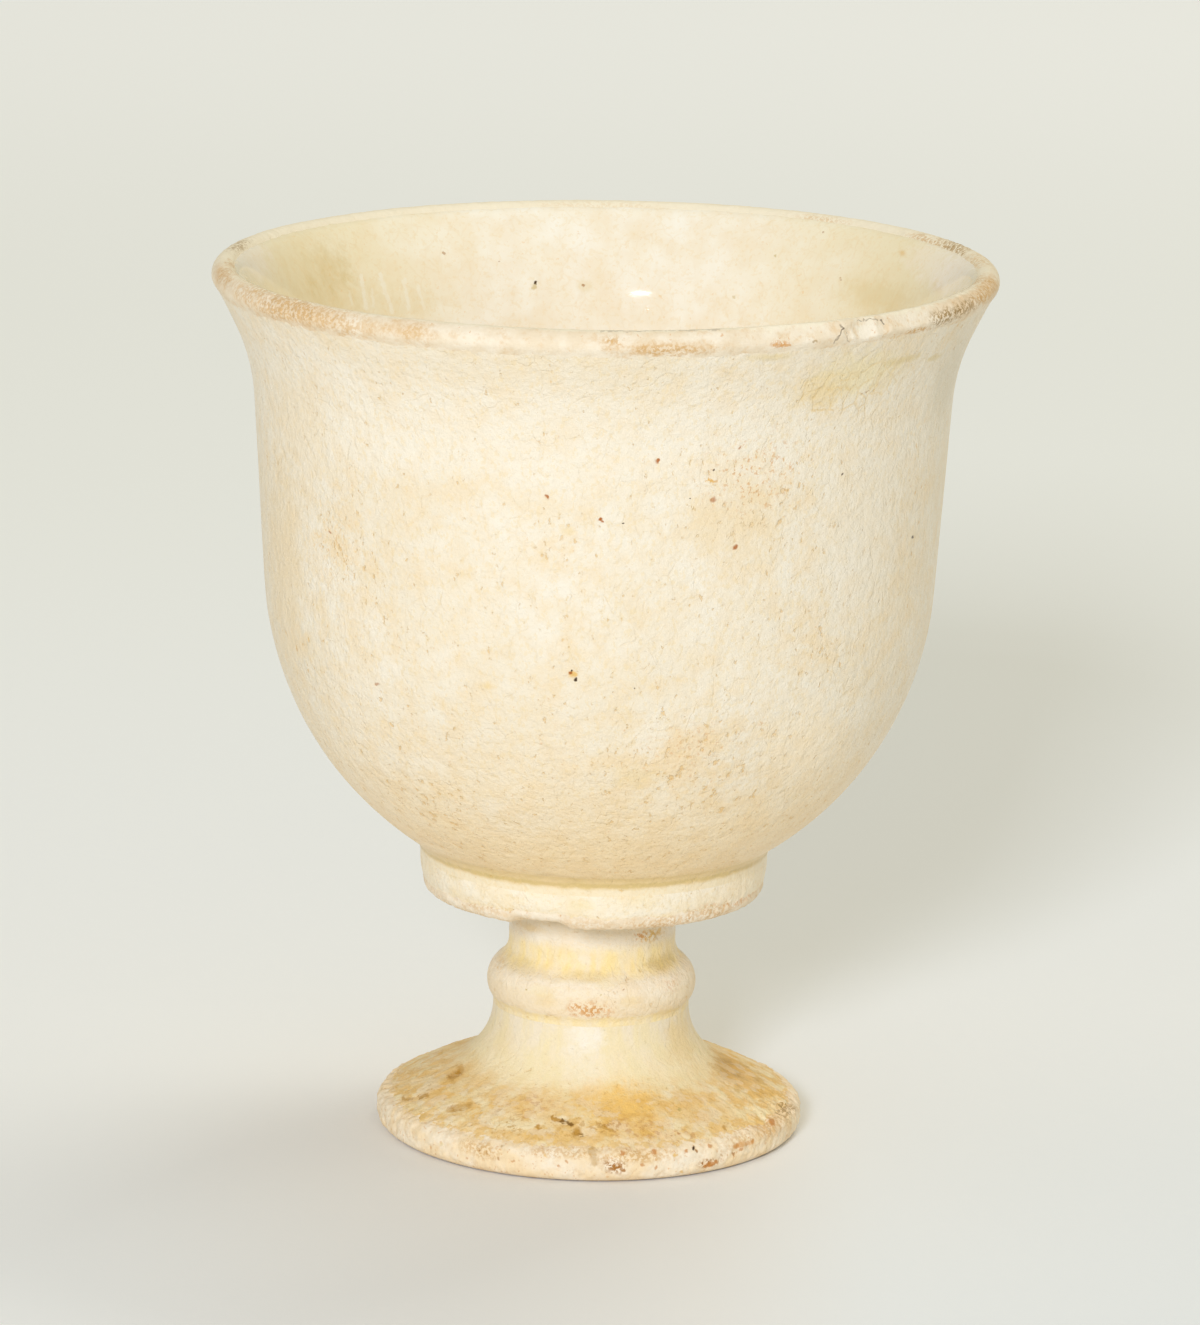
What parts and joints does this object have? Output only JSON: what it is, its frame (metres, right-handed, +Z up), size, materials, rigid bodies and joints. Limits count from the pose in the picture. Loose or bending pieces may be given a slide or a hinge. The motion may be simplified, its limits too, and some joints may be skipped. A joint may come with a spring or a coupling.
{
  "type": "stem cup",
  "caption": "Glazed white stoneware stem cup: round bowl with a flared lip, set in a collar on a ridged stem that spreads into a hollow foot.",
  "frame": {"origin": "centre of the foot's resting ring, on the surface that the cup stands on", "axes": "+Z up along the cup's axis; the cup is turned, so X and Y are alike, and the pictured side faces -Y"},
  "size_m": [0.0706, 0.0706, 0.0805],
  "materials": {
    "clay": "bare fired stoneware, granular and matte",
    "slip": "fired clay slip, matte",
    "glaze": "ivory glaze, soft gloss, fine crackle",
    "pooled_glaze": "thick yellow-olive glaze, glossy"
  },
  "bodies": {
    "root": {"bowl": "clay", "collar": "clay", "stem_foot": "clay", "bowl_joint_slip": "slip", "stem_joint_slip": "slip", "inner_glaze": "glaze", "bowl_glaze": "glaze", "groove_glaze": "pooled_glaze", "collar_glaze": "glaze", "stem_glaze": "pooled_glaze", "foot_glaze": "glaze"}
  },
  "joints": []
}
